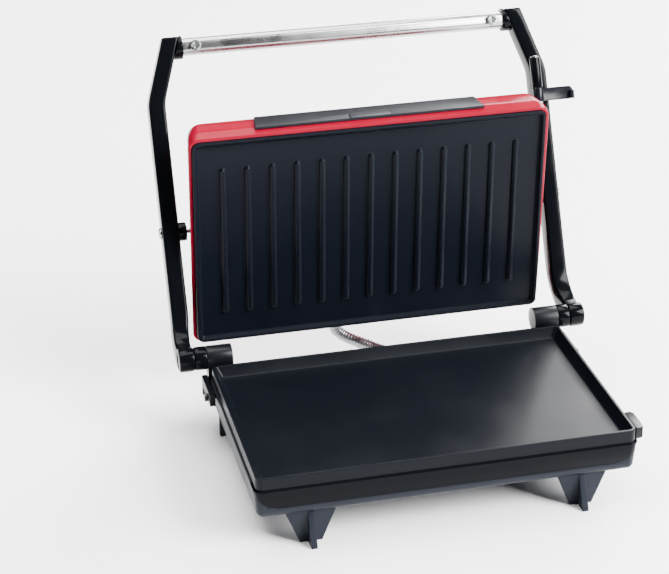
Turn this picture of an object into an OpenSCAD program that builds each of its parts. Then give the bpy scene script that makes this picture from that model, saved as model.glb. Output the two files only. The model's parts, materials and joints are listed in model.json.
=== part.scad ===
// Panini press: a base with a flat lower plate, a ribbed upper plate in a lid that floats
// between two lifting arms, a handle bar, a side latch and a conduit to the upper heater.
// Millimetres, +Z up, front towards -Y. The origin lies on the table under the base's centre.
// The press is drawn open, with the arms on their back stop.

/* [Cooking plates] */
// Width of each plate, side to side
plate_w = 230; // [200:1:260]
// Depth of each plate, front to back
plate_d = 142; // [125:1:160]
// Plan radius of a plate's outer corners
plate_r = 4.5; // [4:0.5:8]
// Height of a plate's outer wall
plate_wall_h = 8; // [7:0.5:10]
// Thickness of the upper plate's floor
upper_t = 2.6; // [2:0.1:3.5]
// Thickness of the lower plate's floor, whose weight steadies the open press
lower_t = 3.6; // [2.4:0.1:4]
// Width of the flat rim round a tray
rim_w = 2.2; // [1.6:0.1:2.4]
// Slope of a tray's wall, as its run inwards for each millimetre of depth
tray_slope = 0.55; // [0.2:0.05:0.8]
// Depth of the lower tray below its rim
lower_tray = 6.4; // [5:0.2:7.4]
// Depth of the upper plate's face below its rim
upper_tray = 2.6; // [2.6:0.1:4]
// Number of ribs on the upper plate
rib_n = 13; // [7:2:13]
// Distance from rib to rib
rib_pitch = 16; // [12:0.5:17]
// Length of a rib
rib_l = 104; // [80:1:112]
// Width of a rib, which is twice its height
rib_w = 4; // [3:0.2:6]

/* [Base housing] */
// Clear height under the base housing
foot_h = 20.7; // [12:0.1:30]
// Height of the base housing
housing_h = 18.3; // [17:0.1:26]
// Wall of the base housing
housing_wall = 2.4; // [1.8:0.1:3]
// Overhang of the base housing round the plate
housing_lip = 1; // [0.5:0.1:2]
// Seam between the housing and the lower plate
plate_seam = 0.7; // [0.3:0.1:1.5]
// Height of the gloss band let into the housing's front
band_h = 12; // [8:0.5:13]
// Radius of the band's lower corners
band_r = 11; // [6:0.5:12]
// Run of the band's curved ends along the housing's front
band_run = 16; // [8:0.5:20]
// Thickness of the gloss band
band_t = 1.4; // [1:0.1:1.8]
// Distance between the middles of the front feet
foot_span = 165.4; // [130:0.2:190]
// Distance between the middles of the rear feet
rear_span = 210; // [150:1:212]
// Width of a foot at its top
foot_top_w = 30; // [20:1:36]
// Width of a foot on the table
foot_tip_w = 13.4; // [8:0.2:20]
// Wall of a foot
foot_wall = 3.6; // [2.5:0.1:5]
// How far a front foot's fin stands out past the plate's edge
fin_reach = 6; // [2:0.5:8]
// How far a rear foot's fin stands out, so that the open press doesn't tip back
rear_reach = 15; // [6:0.5:20]

/* [Fasteners] */
// Distance between the plate screws, side to side
screw_span_x = 164; // [120:1:180]
// Distance between the plate screws, front to back
screw_span_y = 88; // [70:1:100]
// Diameter of the screws' shanks
screw_d = 3; // [2.5:0.1:4]
// Diameter of the screws' heads
head_d = 6; // [5:0.1:7]
// Diameter of the screw posts
post_d = 9.6; // [9:0.1:11]

/* [Hinge and arms] */
// Distance from the plate's back edge to the hinge axis
hinge_back = 10; // [9:0.5:15]
// Height of the hinge axis above the lower rim
hinge_up = 1; // [0:0.5:4]
// Outer diameter of the hinge barrels
barrel_d = 15; // [12:0.5:17]
// Diameter of the hinge pins
hinge_pin_d = 6; // [4:0.1:8]
// Gap between an arm's inner face and the plate's side
arm_gap = 7; // [6:0.5:12]
// Width of an arm, side to side
arm_w = 11; // [9:0.5:14]
// Thickness of an arm, seen from the side
arm_t = 13.5; // [11:0.5:16]
// Distance from the hinge axis to an arm's tip
arm_reach = 205; // [190:1:225]
// Distance from the hinge axis to where an arm bends inwards
bend_at = 164; // [150:1:170]
// Angle of the inward bend
bend_angle = 18; // [12:1:22]
// Angle that the arms open, from closed to their back stop
arm_open = 115; // [95:1:118]
// Angle that the lid turns as the arms open
lid_open = 86.9; // [75:0.1:95]

/* [Handle] */
// Distance from an arm's tip back to the handle's axis
handle_back = 6.6; // [6:0.1:9]
// Depth of the handle bar's section
bar_d = 11; // [9:0.5:13]
// Height of the handle bar's section
bar_h = 12; // [10:0.5:14]
// Wall of the handle bar
bar_wall = 1; // [0.8:0.1:1.5]
// Length of the handle bar
bar_l = 214; // [190:1:216]
// Diameter of the collars at the bar's ends
collar_d = 15; // [13:0.5:17]
// Distance from the bar's end to its screw
bar_screw_in = 8; // [6:0.5:12]

/* [Lid] */
// Gap between the two rims when the press is closed and empty
closed_gap = 1.5; // [1:0.1:4]
// Height of the lid above the upper plate's rim
lid_h = 28.3; // [27:0.1:34]
// Wall of the lid's cover
lid_wall = 2; // [1.6:0.1:2.4]
// Seam between the lid's cover and the upper plate
lid_seam = 0.3; // [0.2:0.1:0.6]
// Height of the cover's edge above the upper plate's rim
lid_edge = 1.3; // [0.8:0.1:2]
// Height of that edge behind the plate
lid_back_edge = 5.2; // [2:0.1:6]
// Height of the pivots above the upper plate's rim
pivot_up = 22.5; // [21:0.1:23]
// Diameter of the pivot pins
pivot_pin_d = 3; // [2.5:0.1:3.4]
// Diameter of the bosses that carry the pivot pins
pivot_boss_d = 12; // [10:0.5:14]
// Length of the front grip strip
grip_l = 149; // [110:1:170]
// Height of the front grip strip
grip_h = 16; // [12:0.5:18]
// Thickness of the front grip strip
grip_t = 1.6; // [1:0.1:2.5]
// Diameter of the indicator lamps' lenses
lamp_d = 6; // [5:0.5:8]

/* [Latch] */
// Distance from the hinge axis to the near side of the latch tab
latch_at = 141.5; // [136:0.5:146]
// Width of the latch tab
tab_w = 8.5; // [7:0.5:10]
// Reach of the latch tab from its axis
tab_l = 23.6; // [22.8:0.1:24.4]
// Thickness of the latch tab
tab_t = 3; // [2.4:0.1:3.6]
// Depth of the latch axis below the arm's underside
latch_drop = 6; // [5.6:0.1:6.6]
// Outer diameter of the latch barrel
latch_d = 7; // [6:0.1:8]
// Length of the latch barrel on the arm
latch_l = 20; // [16:1:22]
// Length of the catch on the base, front to back
catch_l = 20; // [14:0.5:24]
// How far the catch stands out from the housing
catch_out = 5.6; // [4.8:0.1:5.8]

/* [Conduit] */
// Diameter of the conduit between base and lid
conduit_d = 8.6; // [6:0.1:10]
// Height of the conduit's way out of the base
conduit_z = 30; // [29:0.5:31]
// Bore of the mains gland
mains_d = 6.6; // [5:0.1:8]
// Distance of the conduit's way out of the base from the middle
conduit_x = 12; // [5:1:25]
// Distance of the conduit's way into the lid from the middle
conduit_lid_x = 20; // [15:1:30]
// Height of that way in above the upper plate's rim
conduit_lid_up = 16; // [14:0.5:17]

/* [Hidden] */
$fn = 48;
eps = 0.01;
fit = 0.05;              // radial clearance of a turning fit
slack = 0.3;             // clearance between pieces that only pass each other
seat = 0.1;              // clearance between a curved piece and its seat

// Heights in the base, from the table up
plate_bottom = foot_h + housing_h + plate_seam;
rim_z = plate_bottom + plate_wall_h;
lower_floor = rim_z - lower_tray;
lower_under = lower_floor - lower_t;
housing_top = foot_h + housing_h;
heater_d = 6.4;
boss_l = heater_d + 1.3;
shield_t = 0.6;
lower_shield_z = lower_under - boss_l - shield_t;
floor_z = foot_h + housing_wall;
wing_screw_z = housing_top - 3.8;
// How much smaller a plate's floor slab is than its pocket, and the clear gap kept round the slab
slab_step = 4;
slab_gap = 0.4;
foot_in = 5;
foot_peg_d = 4;
function foot_x(y) = (y > 0 ? rear_span : foot_span) / 2;

// The hinge, and the pivots with the press closed and open, each as [y, z]
hinge = [plate_d / 2 + hinge_back, rim_z + hinge_up];
lid_rim_z = rim_z + closed_gap;
pivot = [0, lid_rim_z + pivot_up];
function turned(p, a) = [p[0] * cos(a) - p[1] * sin(a), p[0] * sin(a) + p[1] * cos(a)];
pivot_open = hinge + turned(pivot - hinge, -arm_open);

// Sideways places
arm_in = plate_w / 2 + arm_gap;
arm_out = arm_in + arm_w;
bracket_in = arm_in - 22;
bush_in = arm_in - 6;
knuckle_in = arm_in + 2;
knuckle_out = arm_out + 1;
pin_in = bracket_in + 3;
pin_out = knuckle_out - 2;

// Arm, as distances forward of the hinge axis (s) and above it (h)
arm_low = pivot[1] - hinge[1] - arm_t / 2;
handle_s = arm_reach - handle_back;
tip_slope = tan(bend_angle);
handle_bolt_in = (handle_s - bend_at) * tip_slope + 5;
plug_l = 22;

// Lid cavity, as heights above the upper plate's rim
upper_back = upper_tray + upper_t;
upper_shield_u = upper_back + boss_l;
gland_wall = 1.8;
mains_x = -60;
grip_u = 4;
conduit_seat = 3.8;
pivot_bracket_x = plate_w / 2 - 12;
lamp_span = 14;
lamp_front = 46;

// Latch
latch_x = arm_in + 1.5;
latch_h = arm_low - latch_drop;
catch_front = hinge[0] - latch_at - 5;
nose_l = 2.6;
catch_low = hinge[1] + latch_h - tab_l + nose_l + 0.4;
catch_high = rim_z - 2;

// The conduit's middle line with the press open, from the lid's gland to the base's
conduit_turn = [[-20, 133.9, 33.4], [-18.9, 133.9, 30.4], [-16.2, 133.3, 27.6], [-12.2, 131.4, 25.2],
    [-7, 127.8, 23.4], [-1.5, 122.4, 22.4], [3, 116.6, 22], [6.8, 110, 22.6], [9.4, 103, 24],
    [11, 95.6, 26], [11.8, 88, 28], [12, 81, 29.4]];
lid_exit = pivot_open + turned([plate_d / 2 + lid_seam + 1 + conduit_seat + slack,
    conduit_lid_up - pivot_up], -lid_open);
conduit_path = concat([[-conduit_lid_x, lid_exit[0], lid_exit[1]]], conduit_turn,
    [[conduit_x, plate_d / 2 + 4, conduit_z], [conduit_x, plate_d / 2 - 2.5, conduit_z]]);

// ---- shared shapes ----

// Rectangle with round corners, centred.
module round_rect(w, d, r) {
    square([w - 2 * r, d], center = true);
    square([w, d - 2 * r], center = true);
    for (x = [-1, 1], y = [-1, 1]) translate([x * (w / 2 - r), y * (d / 2 - r)]) circle(r);
}

// Children at the four plate screws.
module at_screws() {
    for (x = [-1, 1], y = [-1, 1]) translate([x * screw_span_x / 2, y * screw_span_y / 2, 0])
        children();
}

// Children on the right, and mirrored to the left.
module both_sides() {
    for (k = [0, 1]) mirror([k, 0, 0]) children();
}

// Cylinder along X from x1 to x2, at height and depth [y, z].
module rod_x(x1, x2, d, at) {
    translate([x1, at[0], at[1]]) rotate([0, 90, 0]) cylinder(d = d, h = x2 - x1);
}

// Cylinder along Y from y1 to y2, at [x, z].
module rod_y(y1, y2, d, at) {
    translate([at[0], y1, at[1]]) rotate([-90, 0, 0]) cylinder(d = d, h = y2 - y1);
}

// Solid whose side outline, drawn as (forward, up) from the hinge axis, runs from x1 to x2.
module side_cut(x1, x2) {
    translate([x1, hinge[0], hinge[1]]) rotate([90, 0, -90]) mirror([0, 0, 1])
        linear_extrude(x2 - x1) children();
}

// Closed arms turned to their open stop.
module on_arms() {
    translate([0, hinge[0], hinge[1]]) rotate([-arm_open, 0, 0])
        translate([0, -hinge[0], -hinge[1]]) children();
}

// Closed lid turned to its open place on the pivots.
module on_lid() {
    translate([0, pivot_open[0], pivot_open[1]]) rotate([-lid_open, 0, 0])
        translate([0, -pivot[0], -pivot[1]]) children();
}

// Countersunk-slot screw with its head at the bottom and its tip up.
module screw(shank_l, head_h = 2, shank = screw_d, head = head_d) {
    difference() {
        union() {
            cylinder(d = head, h = head_h);
            cylinder(d = shank - 2 * fit, h = head_h + shank_l);
        }
        for (a = [0, 90]) rotate(a) cube([head * 0.6, 0.9, 1.6], center = true);
    }
}

// ---- base ----

// Outline solid of the base housing, grown by g, with a rounded bottom edge.
module housing_body(g, low) {
    lean = 1.2;
    edge = 4;
    layers = concat([[housing_top + (g < 0 ? 1 : 0), 0]],
        [for (a = [0:15:90]) [low + edge * (1 - sin(a)), lean + edge * (1 - cos(a))]]);
    hull() for (p = layers) translate([0, 0, p[0]]) linear_extrude(eps)
        round_rect(plate_w + 2 * (housing_lip + g - p[1]), plate_d + 2 * (housing_lip + g - p[1]),
            max(2, plate_r + housing_lip + g - p[1]), $fn = 64);
}

// Front area that the gloss band covers, grown by g.
module band_area(g) {
    w = plate_w + 2 * housing_lip + 6;
    translate([0, -plate_d / 2 + 12, housing_top - band_h - g]) rotate([90, 0, 0])
        linear_extrude(40) {
            translate([0, (band_h + g + 2) / 2 + band_r / 2])
                square([w, band_h + g + 2 - band_r], center = true);
            translate([0, band_r / 2 + 1])
                square([plate_w - 2 * band_run + 2 * g, band_r + 2], center = true);
            for (x = [-1, 1]) translate([x * (plate_w / 2 - band_run), band_r])
                scale([(band_run + g) / (band_r + g), 1]) circle(band_r + g);
        }
}

module lower_housing() color("#3e4450") {
    difference() {
        union() {
            difference() {
                housing_body(0, foot_h);
                housing_body(-housing_wall, floor_z);
            }
            at_screws() translate([0, 0, foot_h + 1]) cylinder(d = post_d, h = lower_shield_z - foot_h - 1);
            both_sides() {
                rod_y(plate_d / 2 - 8, plate_d / 2, 7, [bracket_in - 3, foot_h + 11]);
                rod_x(plate_w / 2 - 8, plate_w / 2 - 0.5, 6, [plate_d / 2 - 17, wing_screw_z]);
            }
            rod_x(plate_w / 2 - 8, plate_w / 2 - 0.5, 6, [catch_front + catch_l / 2, foot_h + 11]);
            intersection() {
                housing_body(-housing_wall + 0.2, floor_z - 0.2);
                translate([0, 0, housing_top / 2])
                    cube([2 * plate_w, 2 * plate_d, housing_top], center = true);
                difference() {
                    band_area(2);
                    housing_body(-band_t - housing_wall * 0.6, foot_h + band_t);
                }
            }
        }
        intersection() {
            band_area(fit);
            difference() {
                housing_body(1, foot_h - 4);
                housing_body(-band_t, foot_h - 4);
            }
        }
        translate([0, 0, rim_z - lower_tray - lower_t - slab_gap]) linear_extrude(lower_t)
            round_rect(plate_w - 2 * rim_w - slab_step + 2 * slab_gap,
                plate_d - 2 * rim_w - slab_step + 2 * slab_gap, plate_r);
        at_screws() {
            translate([0, 0, foot_h - 1]) cylinder(d = head_d + 1, h = 5.5);
            translate([0, 0, foot_h]) cylinder(d = screw_d + 2 * slack, h = 20);
        }
        both_sides() {
            rod_y(plate_d / 2 - 7, plate_d / 2 + 4, screw_d, [bracket_in - 3, foot_h + 11]);
            rod_x(plate_w / 2 - 7, plate_w / 2 + 4, screw_d, [plate_d / 2 - 17, wing_screw_z]);
        }
        rod_x(plate_w / 2 - 7, plate_w / 2 + 4, screw_d, [catch_front + catch_l / 2, foot_h + 11]);
        rod_y(plate_d / 2 - 6, plate_d / 2 + 4, conduit_d + 4 * seat + gland_wall, [conduit_x, conduit_z]);
        rod_y(plate_d / 2 - 6, plate_d / 2 + 4, mains_d + gland_wall + 2 * seat, [mains_x, conduit_z]);
        for (x = [-50:10:50], y = [-1, 1]) translate([x, y * 30, foot_h])
            cube([3, 26, 8], center = true);
        for (x = [-1, 1], y = [-1, 1])
            translate([x * foot_x(y), y * (plate_d / 2 - foot_in), foot_h])
                cylinder(d = foot_peg_d + 2 * seat, h = 8, center = true);
    }
}

module front_band() color("#12151a") intersection() {
    band_area(-fit);
    difference() {
        housing_body(0.3, foot_h - 4);
        housing_body(fit - band_t, foot_h - 4);
    }
}

// A foot: a tapered panel across, a fin that leans out, and a peg into the housing.
module foot(x, y) color("#3e4450") {
    rear = y > 0;
    front = plate_d / 2 - foot_in;
    toe = plate_d / 2 + (rear ? rear_reach : fin_reach);
    outer_w = rear ? foot_tip_w : foot_top_w;
    translate([x * foot_x(y), 0, 0]) mirror([x < 0 ? 1 : 0, 0, 0]) mirror([0, rear ? 1 : 0, 0]) {
        translate([0, -front + foot_wall / 2, 0]) rotate([90, 0, 0]) linear_extrude(foot_wall)
            polygon([[-foot_tip_w / 2, 0], [foot_tip_w / 2, 0], [outer_w / 2, foot_h - seat],
                [-foot_top_w / 2, foot_h - seat]]);
        translate([-foot_wall / 2, 0, 0]) rotate([90, 0, 90]) linear_extrude(foot_wall)
            polygon([[-front, 0], [-toe, 0], [-toe, 1.5], [-plate_d / 2 + 3, foot_h - seat],
                [-front + 12, foot_h - seat]]);
        translate([0, -front, foot_h - 2]) cylinder(d = foot_peg_d, h = 2 + housing_wall);
    }
}

// A cooking plate with its tray open upwards and a floor t thick; its rim lies at height 0.
module plate(tray, t) {
    pocket_w = plate_w - 2 * rim_w;
    pocket_d = plate_d - 2 * rim_w;
    difference() {
        union() {
            translate([0, 0, -plate_wall_h]) linear_extrude(plate_wall_h)
                round_rect(plate_w, plate_d, plate_r);
            translate([0, 0, -tray - t]) linear_extrude(t + 1)
                round_rect(pocket_w - slab_step, pocket_d - slab_step, plate_r - rim_w - 1);
            at_screws() translate([0, 0, -tray - t - boss_l]) cylinder(d = 8, h = boss_l + 1);
        }
        hull() {
            translate([0, 0, 1]) linear_extrude(eps) round_rect(pocket_w, pocket_d, plate_r - rim_w);
            translate([0, 0, -tray]) linear_extrude(eps)
                round_rect(pocket_w - 2 * tray_slope * tray, pocket_d - 2 * tray_slope * tray,
                    max(1.5, plate_r - rim_w - 1));
        }
        translate([0, 0, -plate_wall_h - 5]) linear_extrude(plate_wall_h + 5 - tray - t)
            difference() {
                round_rect(pocket_w - slab_step, pocket_d - slab_step, plate_r - rim_w - 1);
                at_screws() circle(d = 8);
            }
        at_screws() translate([0, 0, -tray - t - boss_l - 1]) cylinder(d = screw_d, h = boss_l);
    }
}

module lower_plate() color("#1b2028") translate([0, 0, rim_z]) plate(lower_tray, lower_t);

// Tube heater, a long U, lying on a plate's back, whose height is z; it hangs below.
module heater(z) {
    r = 30;
    straight = 62;
    translate([0, 0, z - heater_d / 2 - seat]) {
        translate([straight, 0, 0]) rotate([0, 0, -90]) rotate_extrude(angle = 180)
            translate([r, 0]) circle(d = heater_d);
        for (y = [-1, 1]) {
            rod_x(-straight, straight, heater_d, [y * r, 0]);
            rod_x(-straight - 9, -straight, 3, [y * r, 0]);
        }
    }
}

module lower_heater() color("#7d7f80") heater(lower_under);

// Sheet-steel shield between the heater and the housing, lying at height z.
module heat_shield(z) {
    translate([0, 0, z]) linear_extrude(shield_t) difference() {
        round_rect(plate_w - 30, plate_d - 24, 6);
        at_screws() circle(d = screw_d + 2 * slack);
        for (y = [-1, 1]) translate([-78, y * 20]) circle(d = 6);
    }
}

module lower_heat_shield() color("#b9bcc0") heat_shield(lower_shield_z);

// Disc thermostat with two blades, hanging under height z.
module thermostat(z) {
    translate([0, 0, z - 5.6]) {
        translate([0, 0, 2]) cylinder(d = 17, h = 3.6);
        cylinder(d = 12, h = 2.5);
        for (x = [-1, 1]) translate([x * 7, 0, 1.2]) cube([9, 4, 0.8], center = true);
    }
}

module lower_thermostat() color("#d8d4c8") thermostat(lower_under);

module thermal_fuse() color("#c9a55a") {
    at = [12, lower_under - 2.1];
    rod_x(24, 36, 4, at);
    rod_x(18, 42, 1.2, at);
    translate([30, at[0], lower_under - 0.4]) cube([5, 12, 0.8], center = true);
}

module terminal_block() color("#e9e6dc") translate([-24, 44, floor_z]) difference() {
    translate([-17, -7, 0]) cube([34, 14, 4.6]);
    for (x = [-11, 0, 11]) {
        translate([x, 0, 1.2]) cylinder(d = 4.6, h = 5);
        rod_y(-8, 8, 2, [x, 2.4]);
    }
}

// Grommet in the housing's back wall at x, with a bore and an outer flange.
module gland(x, d_in, d_out) {
    translate([x, plate_d / 2 + housing_lip + seat, conduit_z]) rotate([-90, 0, 0]) difference() {
        union() {
            translate([0, 0, -4]) cylinder(d = d_in + gland_wall, h = 5);
            cylinder(d = d_out, h = 3.4);
        }
        translate([0, 0, -5]) cylinder(d = d_in, h = 12);
    }
}

module mains_gland() color("#15171a") gland(mains_x, mains_d, mains_d + 6);

module lower_plate_screws() color("#a9adb2") at_screws() translate([0, 0, foot_h + 2.4])
    screw(lower_under - foot_h - 5.5);

// ---- hinge ----

module hinge_bracket() color("#191c20") difference() {
    union() {
        rod_x(bracket_in, bush_in, barrel_d, hinge);
        hull() {
            translate([bracket_in + 2, plate_d / 2 + 1.4, foot_h + 6]) cube([bush_in - bracket_in - 2, 3,
                4]);
            rod_x(bracket_in + 2, bush_in, barrel_d - 3, hinge, $fn = 32);
        }
        translate([bracket_in - 8, plate_d / 2 + 1.2, foot_h + 6])
            cube([bush_in + 4.5 - bracket_in + 8, 3, housing_h - 6.5]);
        translate([plate_w / 2 + 2, plate_d / 2 - 25, housing_top - 6.3]) cube([3.5, 29.2, 7]);
        translate([plate_w / 2 + 1.3, plate_d / 2 - 21, housing_top - 6.3]) cube([1, 8, 6]);
    }
    rod_x(pin_in - 0.1, bush_in + 1, hinge_pin_d, hinge);
    rod_y(plate_d / 2, plate_d / 2 + 8, screw_d + 2 * slack, [bracket_in - 3, foot_h + 11]);
    rod_x(plate_w / 2, plate_w / 2 + 8, screw_d + 2 * slack, [plate_d / 2 - 17, wing_screw_z]);
}

module hinge_bracket_right() hinge_bracket();
module hinge_bracket_left() mirror([1, 0, 0]) hinge_bracket();

module hinge_pins() color("#b4b8bd") both_sides() rod_x(pin_in, pin_out, hinge_pin_d - 2 * fit, hinge);

module hinge_bushes() color("#0c0e11") both_sides() difference() {
    rod_x(bush_in + seat, knuckle_in - slack / 2, barrel_d, hinge);
    rod_x(bush_in, knuckle_in, hinge_pin_d, hinge);
}

module bracket_screws() color("#a9adb2") both_sides() {
    translate([bracket_in - 3, plate_d / 2 + 6.3, foot_h + 11]) rotate([90, 0, 0]) screw(10);
    translate([plate_w / 2 + 7.6, plate_d / 2 - 17, wing_screw_z]) rotate([0, -90, 0])
        screw(10, head = 5);
}

// ---- latch catch on the base ----

module latch_catch() color("#191c20") {
    x = plate_w / 2 + housing_lip + 0.5;
    difference() {
        union() {
            translate([x, catch_front + catch_l / 2 - 5, foot_h + 6])
                cube([2.2, 10, catch_high - foot_h - 6]);
            translate([0, 0, catch_low]) linear_extrude(catch_high - catch_low)
                polygon([[x, catch_front], [x + catch_out - 1, catch_front + 0.8],
                    [x + catch_out - 0.5, catch_front + 3], [x + catch_out - 0.5,
                        catch_front + catch_l - 2],
                    [x + catch_out - 2, catch_front + catch_l], [x, catch_front + catch_l]]);
        }
        rod_x(x - 1, x + 4, screw_d + 2 * slack, [catch_front + catch_l / 2, foot_h + 11]);
    }
}

module catch_screws() color("#a9adb2")
    translate([plate_w / 2 + housing_lip + 4.8, catch_front + catch_l / 2, foot_h + 11])
        rotate([0, -90, 0]) screw(9, head = 5);

// ---- conduit ----

module conduit_base_gland() color("#15171a")
    gland(conduit_x, conduit_d + 2 * seat, conduit_d + 6);

// Tube through the points p, as one closed solid with flat ends.
function unit(v) = v / norm(v);
function along(p, i) = unit(p[min(i + 1, len(p) - 1)] - p[max(i - 1, 0)]);
module tube(p, d, sides = 12) {
    points = [for (i = [0:len(p) - 1]) let (t = along(p, i), a = unit(cross([1, 0, 0.01], t)),
        b = cross(t, a))
        for (k = [0:sides - 1]) p[i] + d / 2 * (a * cos(360 * k / sides) + b * sin(360 * k / sides))];
    last = (len(p) - 1) * sides;
    faces = concat([[for (k = [0:sides - 1]) k]], [[for (k = [sides - 1:-1:0]) last + k]],
        [for (i = [0:len(p) - 2], k = [0:sides - 1])
            [i * sides + k, (i + 1) * sides + k, (i + 1) * sides + (k + 1) % sides,
                i * sides + (k + 1) % sides]]);
    polyhedron(points, faces, convexity = 6);
}

module conduit() color("#8d9196") tube(conduit_path, conduit_d);

// ---- arms, drawn closed ----

// Side outline of an arm, as (forward, up) from the hinge axis.
module arm_side() {
    top = arm_low + arm_t;
    low_r = 26;
    polygon(concat(
        [for (a = [200:10:270]) barrel_d / 2 * [cos(a), sin(a)]],
        [for (a = [-60:12:0]) barrel_d / 2 * [cos(a), sin(a)]],
        [for (a = [176:-8:96]) [barrel_d / 2 + low_r * (1 + cos(a)),
            arm_low - low_r * (1 - sin(a)) * arm_low / low_r]],
        [[arm_reach, arm_low], [arm_reach, top]],
        [for (a = [90:10:180]) [30 + 38 * cos(a), top - 30 * (1 - sin(a))]]));
    circle(d = barrel_d);
}

// Plan of an arm, as (sideways, forward), with its inward bend.
module arm_plan() {
    r = 30;
    l = arm_reach - bend_at;
    shift = l * tip_slope;
    polygon([[knuckle_in, -barrel_d], [knuckle_out, -barrel_d], [knuckle_out, 12], [arm_out, 24],
        [arm_out, bend_at - r * tan(bend_angle / 2)],
        for (a = [0:bend_angle / 6:bend_angle]) [arm_out - r * (1 - cos(a)),
            bend_at - r * tan(bend_angle / 2) + r * sin(a)],
        [arm_out - shift, arm_reach], [arm_out - shift - arm_w, arm_reach - 0.1],
        [arm_in, bend_at - 0.9], [arm_in, 24], [knuckle_in, 14]]);
}

module arm() color("#14171b") difference() {
    union() {
        intersection() {
            side_cut(plate_w / 2 - 20, arm_out + 5) arm_side();
            translate([0, hinge[0], hinge[1] - 30]) mirror([0, 1, 0]) linear_extrude(80) arm_plan();
        }
        rod_x(arm_in - 5, arm_in + 1, pivot_boss_d, pivot);
    }
    rod_x(knuckle_in - 1, pin_out + 0.3, hinge_pin_d, hinge);
    rod_x(arm_in - 6, arm_out + 1, pivot_pin_d, pivot);
    handle_at = [hinge[0] - handle_s, pivot[1]];
    rod_x(arm_in - 20, arm_out + 1, 4, handle_at);
    rod_x(arm_out - handle_bolt_in, arm_out + 5, 8, handle_at);
    translate([arm_in + 2.5, hinge[0] - 118, hinge[1] + arm_low - 1]) cube([arm_w - 5, 25, 1.8]);
}

module arm_left() on_arms() mirror([1, 0, 0]) arm();

// The right arm carries the latch barrel on its underside.
module arm_right() on_arms() {
    at = [latch_x, hinge[1] + latch_h];
    back = hinge[0] - latch_at - tab_w - slack;
    difference() {
        union() {
            arm();
            color("#14171b") {
                rod_y(back - latch_l, back, latch_d, at);
                translate([latch_x - 0.5, back - latch_l, at[1]]) cube([4, latch_l, latch_drop + 0.6]);
            }
        }
        rod_y(back - latch_l - 1, back + 1, screw_d, at);
    }
}

// ---- handle, drawn closed ----

// The bar's section, a rectangle with full round corners, shrunk by g, along X to both sides.
module bar_solid(l, g) {
    translate([0, hinge[0] - handle_s, pivot[1]]) rotate([90, 0, 90]) translate([0, 0, -l / 2])
        linear_extrude(l) round_rect(bar_d - 2 * g, bar_h - 2 * g, 4.4 - g);
}

module bar_screw_holes(d) {
    both_sides() translate([bar_l / 2 - bar_screw_in, hinge[0] - handle_s,
        pivot[1] - bar_h]) cylinder(d = d, h = bar_h);
}

module handle_bar() color("#b9bbbd") on_arms() difference() {
    bar_solid(bar_l, 0);
    bar_solid(bar_l + 1, bar_wall);
    bar_screw_holes(screw_d + 2 * slack);
}

module handle_collar() color("#14171b") difference() {
    union() {
        difference() {
            rod_x(bar_l / 2 + seat, arm_in, collar_d, [hinge[0] - handle_s, pivot[1]]);
            translate([0, hinge[0], hinge[1] - 30]) mirror([0, 1, 0]) linear_extrude(80)
                polygon([[arm_in - seat, bend_at - 0.9],
                    [arm_in - seat - (arm_reach - bend_at) * tip_slope, arm_reach],
                    [arm_in - (arm_reach + 30 - bend_at) * tip_slope, arm_reach + 30], [arm_in + 40,
                        arm_reach + 30],
                    [arm_in + 40, bend_at]]);
        }
        intersection() {
            bar_solid(bar_l + 2, bar_wall + seat);
            translate([bar_l / 2 - plug_l, -plate_w, 0]) cube([plug_l + 2, 2 * plate_w, 2 * plate_w]);
        }
    }
    bar_screw_holes(screw_d);
    rod_x(bar_l / 2 - 6, arm_in + 1, 4, [hinge[0] - handle_s, pivot[1]]);
}

module handle_collar_right() on_arms() handle_collar();
module handle_collar_left() on_arms() mirror([1, 0, 0]) handle_collar();

module handle_screws() color("#c9ccd0") on_arms() both_sides()
    translate([bar_l / 2 - bar_screw_in, hinge[0] - handle_s, pivot[1] - bar_h / 2 - 2])
        screw(6, head = 7);

module handle_bolts() color("#9ea2a7") on_arms() both_sides()
    translate([arm_out - handle_bolt_in + 2, hinge[0] - handle_s, pivot[1]]) rotate([0, -90, 0])
        screw(arm_out - handle_bolt_in - bar_l / 2 + 4, shank = 4, head = 7);

// ---- pivots ----

// A pin from the arm's outer face to the bracket inside the lid, with a round head outside.
module pivot_pins() color("#8f9398") on_arms() both_sides() {
    rod_x(pivot_bracket_x - 1.6, arm_out + 1, pivot_pin_d - 2 * fit, pivot);
    translate([arm_out + seat, pivot[0], pivot[1]]) rotate([0, 90, 0]) rotate_extrude()
        polygon([[0, 0], [3.6, 0], [3.6, 0.8], [2.8, 1.6], [0, 1.6]]);
}

module pivot_clips() color("#caccce") on_arms() both_sides() difference() {
    rod_x(pivot_bracket_x - 1.2, pivot_bracket_x - 0.4, 5, pivot);
    rod_x(pivot_bracket_x - 2, pivot_bracket_x + 1, pivot_pin_d, pivot);
}

// ---- latch, drawn closed arms, tab turned outwards ----

module latch_tab() color("#22262b") on_arms() {
    y = hinge[0] - latch_at - tab_w;
    z = hinge[1] + latch_h;
    difference() {
        union() {
            rod_y(y, y + tab_w, latch_d, [latch_x, z]);
            translate([latch_x, y, z - tab_t / 2]) cube([tab_l - 3, tab_w, tab_t]);
            for (k = [0, 1]) translate([latch_x + tab_l - 3, y + 3 + k * (tab_w - 6), z - tab_t / 2])
                cylinder(r = 3, h = tab_t);
            translate([latch_x + tab_l - 3.5, y + 3, z - tab_t / 2]) cube([3.5, tab_w - 6, tab_t]);
            translate([latch_x + tab_l - nose_l, y + 3, z - tab_t / 2 - 2.6]) cube([nose_l, tab_w - 3, 3]);
        }
        rod_y(y - 1, y + tab_w + 1, screw_d - 2 * fit, [latch_x, z]);
    }
}

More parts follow.
